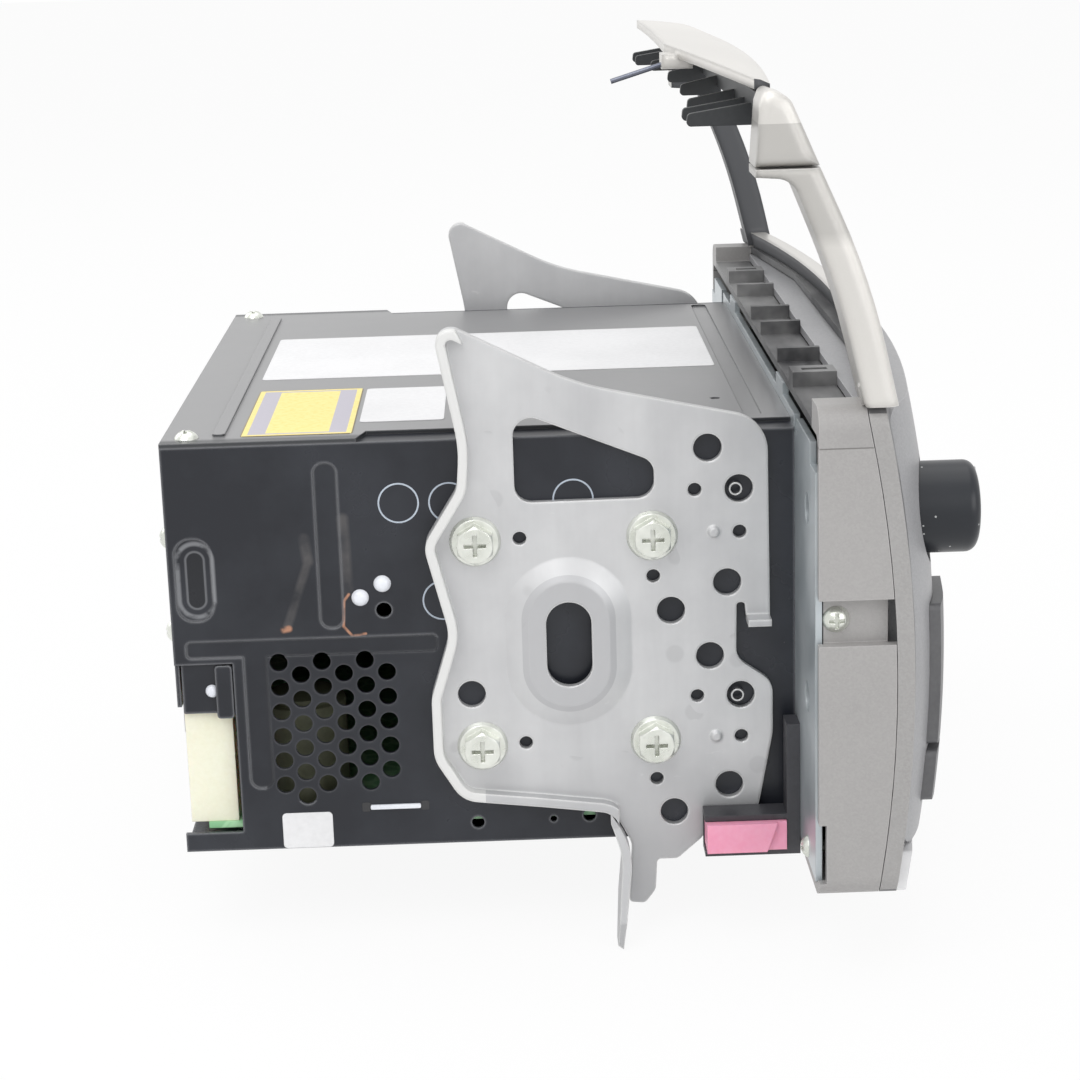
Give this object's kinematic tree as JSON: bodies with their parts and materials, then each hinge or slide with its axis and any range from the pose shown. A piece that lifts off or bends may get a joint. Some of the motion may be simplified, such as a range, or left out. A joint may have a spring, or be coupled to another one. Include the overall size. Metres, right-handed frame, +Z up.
{
  "type": "car cd player",
  "caption": "Car disc player in a steel case with a bowed dash fascia, an air vent surround, pressed side brackets and a slot-loading deck.",
  "frame": {"origin": "middle of the case's width and height, in the plane where the front plate meets the case", "axes": "+X to the right seen from the front, +Y from the fascia into the dashboard, +Z up"},
  "size_m": [0.258, 0.1926, 0.2075],
  "materials": {
    "case_black": "semi-gloss black coat on steel sheet",
    "choke_olive": "yellow-olive tape over the winding",
    "plate_zinc": "bright zinc plated sheet",
    "housing_taupe": "fine grained plastic",
    "bezel_taupe": "satin painted plastic",
    "panel_grey": "satin painted plastic",
    "lens_dark": "dark tinted polished plastic",
    "strip_clear": "milky clear plastic",
    "display_black": "black glass in a dark frame",
    "board_green": "green solder mask",
    "inner_black": "black moulded plastic",
    "encoder_steel": "plain plated steel",
    "key_dark": "satin moulded plastic",
    "knob_black": "matt soft-touch black",
    "connector_cream": "cream nylon",
    "socket_steel": "nickel plated",
    "sink_aluminium": "plain extruded aluminium",
    "roller_rubber": "matt rubber",
    "gear_white": "natural acetal",
    "sled_black": "glass filled plastic",
    "bracket_steel": "dull galvanised steel",
    "bolt_zinc": "yellowish zinc plating",
    "clip_black": "black moulded plastic",
    "clip_pink": "pink moulded plastic",
    "trim_silver": "warm silver metallic paint",
    "rib_dark": "dark moulded plastic",
    "pin_steel": "dark steel wire"
  },
  "bodies": {
    "unit": {"chassis_shell": "case_black", "top_cover": "case_black", "rear_panel": "case_black", "front_plate": "plate_zinc", "fascia_housing": "housing_taupe", "front_bezel": "bezel_taupe", "control_panel": "panel_grey", "display_lens": "lens_dark", "lower_light_guide": "strip_clear", "display_module": "display_black", "front_board": "board_green", "push_switches": "inner_black", "rotary_encoders": "encoder_steel", "disc_guide": "inner_black", "main_board": "board_green", "harness_connector": "connector_cream", "antenna_socket": "socket_steel", "heat_sink": "sink_aluminium", "mech_shelf": "case_black", "line_choke": "choke_olive", "deck_dampers": "inner_black", "deck_frame": "plate_zinc", "spindle_motor": "encoder_steel", "sled_rails": "plate_zinc", "sled_motor": "encoder_steel", "loading_motor": "encoder_steel", "left_bracket": "bracket_steel", "right_bracket": "bracket_steel", "bracket_bolts": "bolt_zinc", "case_screws": "bolt_zinc", "fascia_screws": "bolt_zinc", "clip_brackets": "clip_black", "retaining_clips": "clip_pink", "vent_surround": "trim_silver", "upper_trim_panel": "trim_silver", "trim_ribs": "rib_dark", "locating_pin": "pin_steel"},
    "volume_push": {"volume_plunger": "key_dark"},
    "volume_dial": {"volume_knob": "knob_black", "volume_shaft": "encoder_steel"},
    "tune_dial": {"tune_knob": "knob_black", "tune_shaft": "encoder_steel"},
    "left_upper_button_key": {"left_upper_button": "key_dark"},
    "left_lower_button_key": {"left_lower_button": "key_dark"},
    "right_upper_button_key": {"right_upper_button": "key_dark"},
    "right_lower_button_key": {"right_lower_button": "key_dark"},
    "preset_button_1_key": {"preset_button_1": "key_dark"},
    "preset_button_2_key": {"preset_button_2": "key_dark"},
    "preset_button_3_key": {"preset_button_3": "key_dark"},
    "preset_button_4_key": {"preset_button_4": "key_dark"},
    "preset_button_5_key": {"preset_button_5": "key_dark"},
    "preset_button_6_key": {"preset_button_6": "key_dark"},
    "eject_button_key": {"eject_button": "key_dark"},
    "turntable_body": {"turntable": "gear_white"},
    "clamp_arm_body": {"clamp_arm": "plate_zinc"},
    "clamp_puck_body": {"clamp_puck": "inner_black"},
    "pickup_sled_body": {"pickup_sled": "sled_black"},
    "lead_screw_body": {"lead_screw": "plate_zinc"},
    "loading_roller_body": {"loading_roller": "roller_rubber"},
    "drive_pinion_body": {"drive_pinion": "gear_white"}
  },
  "joints": [
    {"name": "volume_press", "type": "slide", "parent": "unit", "child": "volume_push", "axis": [0, 1, 0], "range_m": [0, 0.001], "stiffness_N_per_m": 1200},
    {"name": "volume_turn", "type": "hinge", "parent": "volume_push", "child": "volume_dial", "pos_m": [-0.1, -0.0372, 0.032], "axis": [0, 1, 0], "continuous": true},
    {"name": "tune_turn", "type": "hinge", "parent": "unit", "child": "tune_dial", "pos_m": [0.1, -0.0372, 0.032], "axis": [0, 1, 0], "continuous": true},
    {"name": "left_upper_press", "type": "slide", "parent": "unit", "child": "left_upper_button_key", "axis": [0, 1, 0], "range_m": [0, 0.0008], "stiffness_N_per_m": 500},
    {"name": "left_lower_press", "type": "slide", "parent": "unit", "child": "left_lower_button_key", "axis": [0, 1, 0], "range_m": [0, 0.0008], "stiffness_N_per_m": 500},
    {"name": "right_upper_press", "type": "slide", "parent": "unit", "child": "right_upper_button_key", "axis": [0, 1, 0], "range_m": [0, 0.0008], "stiffness_N_per_m": 500},
    {"name": "right_lower_press", "type": "slide", "parent": "unit", "child": "right_lower_button_key", "axis": [0, 1, 0], "range_m": [0, 0.0008], "stiffness_N_per_m": 500},
    {"name": "preset_press_1", "type": "slide", "parent": "unit", "child": "preset_button_1_key", "axis": [0, 1, 0], "range_m": [0, 0.0008], "stiffness_N_per_m": 500},
    {"name": "preset_press_2", "type": "slide", "parent": "unit", "child": "preset_button_2_key", "axis": [0, 1, 0], "range_m": [0, 0.0008], "stiffness_N_per_m": 500},
    {"name": "preset_press_3", "type": "slide", "parent": "unit", "child": "preset_button_3_key", "axis": [0, 1, 0], "range_m": [0, 0.0008], "stiffness_N_per_m": 500},
    {"name": "preset_press_4", "type": "slide", "parent": "unit", "child": "preset_button_4_key", "axis": [0, 1, 0], "range_m": [0, 0.0008], "stiffness_N_per_m": 500},
    {"name": "preset_press_5", "type": "slide", "parent": "unit", "child": "preset_button_5_key", "axis": [0, 1, 0], "range_m": [0, 0.0008], "stiffness_N_per_m": 500},
    {"name": "preset_press_6", "type": "slide", "parent": "unit", "child": "preset_button_6_key", "axis": [0, 1, 0], "range_m": [0, 0.0008], "stiffness_N_per_m": 500},
    {"name": "eject_press", "type": "slide", "parent": "unit", "child": "eject_button_key", "axis": [0, 1, 0], "range_m": [0, 0.0008], "stiffness_N_per_m": 500},
    {"name": "disc_spin", "type": "hinge", "parent": "unit", "child": "turntable_body", "pos_m": [0, 0.072, 0.0379], "axis": [0, 0, 1], "continuous": true},
    {"name": "clamp_lower", "type": "hinge", "parent": "unit", "child": "clamp_arm_body", "pos_m": [0, 0.13, 0.045], "axis": [1, 0, 0], "range_deg": [0, 3.2]},
    {"name": "puck_spin", "type": "hinge", "parent": "clamp_arm_body", "child": "clamp_puck_body", "pos_m": [0, 0.072, 0.045], "axis": [0, 0, 1], "continuous": true},
    {"name": "sled_travel", "type": "slide", "parent": "unit", "child": "pickup_sled_body", "axis": [1, 0, 0], "range_m": [0, 0.033]},
    {"name": "screw_turn", "type": "hinge", "parent": "unit", "child": "lead_screw_body", "pos_m": [0.04, 0.1, 0.033], "axis": [1, 0, 0], "continuous": true},
    {"name": "roller_turn", "type": "hinge", "parent": "unit", "child": "loading_roller_body", "pos_m": [0, 0.009, 0.0324], "axis": [1, 0, 0], "continuous": true},
    {"name": "pinion_turn", "type": "hinge", "parent": "unit", "child": "drive_pinion_body", "pos_m": [0.075, 0.0192, 0.0324], "axis": [1, 0, 0], "continuous": true}
  ],
  "couplings": [
    {"joint": "screw_turn", "follows": "sled_travel", "rad_per_m": 2094.4},
    {"joint": "pinion_turn", "follows": "roller_turn", "ratio": -1.4286}
  ]
}
